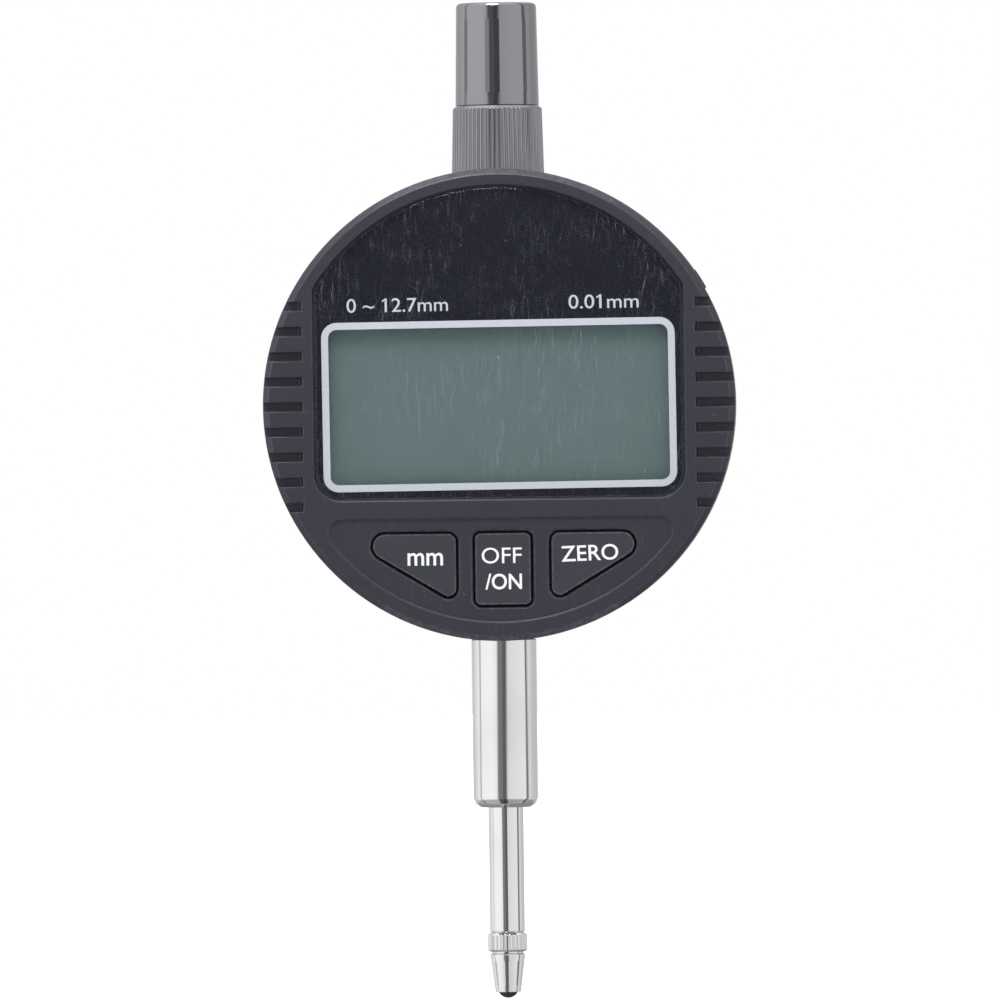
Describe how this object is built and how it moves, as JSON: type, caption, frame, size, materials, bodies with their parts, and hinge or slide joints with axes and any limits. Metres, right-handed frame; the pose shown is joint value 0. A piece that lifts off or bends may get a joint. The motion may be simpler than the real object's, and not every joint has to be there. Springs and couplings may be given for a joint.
{
  "type": "dial indicator",
  "caption": "Digital dial indicator: round display body with stem, sprung spindle, contact point, dust cap, push keys, coin cell drawer and lug back.",
  "frame": {"origin": "on the spindle axis, half way along the stem below the body, where a clamp or collet holds it", "axes": "+Z along the measuring axis towards the dust cap, display faces -Y, +X to the reader's right"},
  "size_m": [0.058, 0.0347, 0.1227],
  "materials": {
    "black_plastic": "fine moulded texture, matt dark grey",
    "key_plastic": "satin dark grey with white print",
    "black_anodised": "turned, polished and dark anodised",
    "black_metal": "matt black paint",
    "dark_steel": "blackened",
    "polished_steel": "ground and polished",
    "spring_steel": "bright drawn wire",
    "carbide": "polished dark ball",
    "bronze": "reamed",
    "brass_contact": "stamped",
    "machined_aluminium": "machined",
    "nickel_plate": "plated",
    "window_glass": "gloss, black printed border",
    "lcd_glass": "clear",
    "lcd_film": "grey-green polarizer",
    "silver_film": "silvered",
    "white_plastic": "moulded",
    "black_tape": "foam tape",
    "switch_plastic": "moulded",
    "circuit_board": "green solder mask",
    "black_resin": "poured",
    "ceramic_chip": "fired",
    "rubber": "soft black"
  },
  "bodies": {
    "housing": {"front_housing": "black_plastic", "rear_housing": "black_plastic", "housing_seal": "rubber", "lug_back": "black_metal", "housing_screws": "dark_steel", "window": "window_glass", "window_adhesive": "black_tape", "lcd_polarizer": "lcd_film", "lcd_glass": "lcd_glass", "lcd_reflector": "silver_film", "lcd_frame": "white_plastic", "zebra_strips": "rubber", "main_board": "circuit_board", "tactile_switches": "switch_plastic", "measuring_chip": "black_resin", "quartz_crystal": "nickel_plate", "chip_parts": "ceramic_chip", "board_screws": "nickel_plate", "cell_contact_plus": "brass_contact", "cell_contact_minus": "brass_contact", "stem": "polished_steel", "stem_nut": "brass_contact", "lower_bush": "bronze", "buffer_washer": "rubber", "neck": "polished_steel", "upper_bush": "bronze", "guide_rail": "machined_aluminium", "rail_screws": "nickel_plate", "spring_anchor": "polished_steel", "return_spring": "spring_steel"},
    "spindle_set": {"spindle": "polished_steel", "carriage": "machined_aluminium", "carriage_screws": "dark_steel", "scale_plate": "circuit_board", "guide_pin": "polished_steel", "spring_pin": "polished_steel", "contact_point": "polished_steel", "contact_ball": "carbide"},
    "mm_key": {"mm_button": "key_plastic"},
    "power_key": {"power_button": "key_plastic"},
    "zero_key": {"zero_button": "key_plastic"},
    "drawer": {"battery_drawer": "black_plastic", "button_cell": "nickel_plate"},
    "cap": {"dust_cap": "black_anodised"}
  },
  "joints": [
    {"name": "spindle_slide", "type": "slide", "parent": "housing", "child": "spindle_set", "axis": [0, 0, 1], "range_m": [0, 0.0127], "stiffness_N_per_m": 47, "springref_m": -0.0128, "deforming": ["return_spring"]},
    {"name": "mm_press", "type": "slide", "parent": "housing", "child": "mm_key", "axis": [0, 1, 0], "range_m": [0, 0.0005], "stiffness_N_per_m": 1500, "springref_m": -0.0003},
    {"name": "power_press", "type": "slide", "parent": "housing", "child": "power_key", "axis": [0, 1, 0], "range_m": [0, 0.0005], "stiffness_N_per_m": 1500, "springref_m": -0.0003},
    {"name": "zero_press", "type": "slide", "parent": "housing", "child": "zero_key", "axis": [0, 1, 0], "range_m": [0, 0.0005], "stiffness_N_per_m": 1500, "springref_m": -0.0003},
    {"name": "drawer_slide", "type": "slide", "parent": "housing", "child": "drawer", "axis": [0.6561, 0, 0.7547], "range_m": [0, 0.018]},
    {"name": "cap_lift", "type": "slide", "parent": "housing", "child": "cap", "axis": [0, 0, 1], "range_m": [0, 0.0225]}
  ]
}
